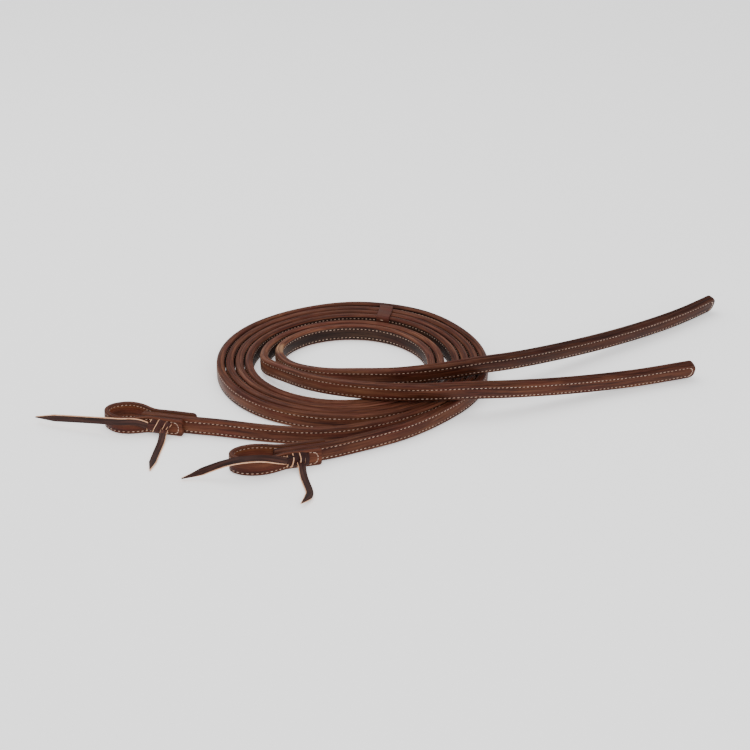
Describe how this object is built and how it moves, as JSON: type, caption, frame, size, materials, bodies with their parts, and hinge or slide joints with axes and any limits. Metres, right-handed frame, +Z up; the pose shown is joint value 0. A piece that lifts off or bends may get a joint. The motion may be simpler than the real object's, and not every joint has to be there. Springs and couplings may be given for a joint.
{
  "type": "split reins",
  "caption": "Pair of flat doubled and stitched leather split reins, coiled together on edge, with laced bit-end loops, free tails and a leather keeper.",
  "frame": {"origin": "on the floor under the middle of the overall box of the laid-down reins", "axes": "+X to the right, towards the tails; +Y away from the bit ends; +Z up"},
  "size_m": [0.68, 0.4158, 0.0366],
  "materials": {
    "bridle_leather": "oiled, satin, mid brown with stitched edges",
    "bridle_leather_lining": "flesh side lightly slicked, darker brown",
    "waxed_thread": "waxed thread, cream",
    "latigo_lace": "oiled latigo, dark burgundy with natural tan cut edges",
    "keeper_leather": "satin brown"
  },
  "bodies": {
    "coil": {"near_turn_1_outer_ply": "bridle_leather", "near_turn_1_inner_ply": "bridle_leather_lining", "near_turn_2_outer_ply": "bridle_leather", "near_turn_2_inner_ply": "bridle_leather_lining", "near_turn_3_outer_ply": "bridle_leather", "near_turn_3_inner_ply": "bridle_leather_lining", "near_needle_thread": "waxed_thread", "near_bobbin_thread": "waxed_thread", "near_loop_outer_ply": "bridle_leather", "near_loop_lining": "bridle_leather_lining", "near_loop_needle_thread": "waxed_thread", "near_loop_bobbin_thread": "waxed_thread", "near_lace_knot": "latigo_lace", "far_turn_1_outer_ply": "bridle_leather", "far_turn_1_inner_ply": "bridle_leather_lining", "far_turn_2_outer_ply": "bridle_leather", "far_turn_2_inner_ply": "bridle_leather_lining", "far_turn_3_outer_ply": "bridle_leather", "far_turn_3_inner_ply": "bridle_leather_lining", "far_needle_thread": "waxed_thread", "far_bobbin_thread": "waxed_thread", "far_loop_outer_ply": "bridle_leather", "far_loop_lining": "bridle_leather_lining", "far_loop_needle_thread": "waxed_thread", "far_loop_bobbin_thread": "waxed_thread", "far_lace_knot": "latigo_lace"},
    "near_tail": {"near_tail_outer_ply": "bridle_leather", "near_tail_inner_ply": "bridle_leather_lining", "near_tail_needle_thread": "waxed_thread", "near_tail_bobbin_thread": "waxed_thread"},
    "far_tail": {"far_tail_outer_ply": "bridle_leather", "far_tail_inner_ply": "bridle_leather_lining", "far_tail_needle_thread": "waxed_thread", "far_tail_bobbin_thread": "waxed_thread"},
    "near_lace_long": {"near_lace_long_end": "latigo_lace"},
    "near_lace_short": {"near_lace_short_end": "latigo_lace"},
    "far_lace_long": {"far_lace_long_end": "latigo_lace"},
    "far_lace_short": {"far_lace_short_end": "latigo_lace"},
    "keeper": {"keeper_band": "keeper_leather"}
  },
  "joints": [
    {"name": "near_tail_swing", "type": "hinge", "parent": "coil", "child": "near_tail", "pos_m": [0.10266, -0.02632, 0.02317], "axis": [0, 0, 1], "range_deg": [-8, 8]},
    {"name": "far_tail_swing", "type": "hinge", "parent": "coil", "child": "far_tail", "pos_m": [0.10266, 0.02958, 0.02477], "axis": [0, 0, 1], "range_deg": [-8, 8]},
    {"name": "near_long_lace_swing", "type": "hinge", "parent": "coil", "child": "near_lace_long", "pos_m": [-0.10103, -0.14332, 0.0112], "axis": [0, 0, 1], "range_deg": [0, 35]},
    {"name": "near_short_lace_swing", "type": "hinge", "parent": "coil", "child": "near_lace_short", "pos_m": [-0.08797, -0.14364, 0.0054], "axis": [0, 0, 1], "range_deg": [-25, 25]},
    {"name": "far_long_lace_swing", "type": "hinge", "parent": "coil", "child": "far_lace_long", "pos_m": [-0.23266, -0.07079, 0.0096], "axis": [0, 0, 1], "range_deg": [0, 35]},
    {"name": "far_short_lace_swing", "type": "hinge", "parent": "coil", "child": "far_lace_short", "pos_m": [-0.21761, -0.07875, 0.0052], "axis": [0, 0, 1], "range_deg": [-25, 25]},
    {"name": "keeper_slide_round_coil", "type": "hinge", "parent": "coil", "child": "keeper", "pos_m": [-0.04734, 0.05718, 0], "axis": [0, 0, 1], "range_deg": [-4, 4]}
  ]
}
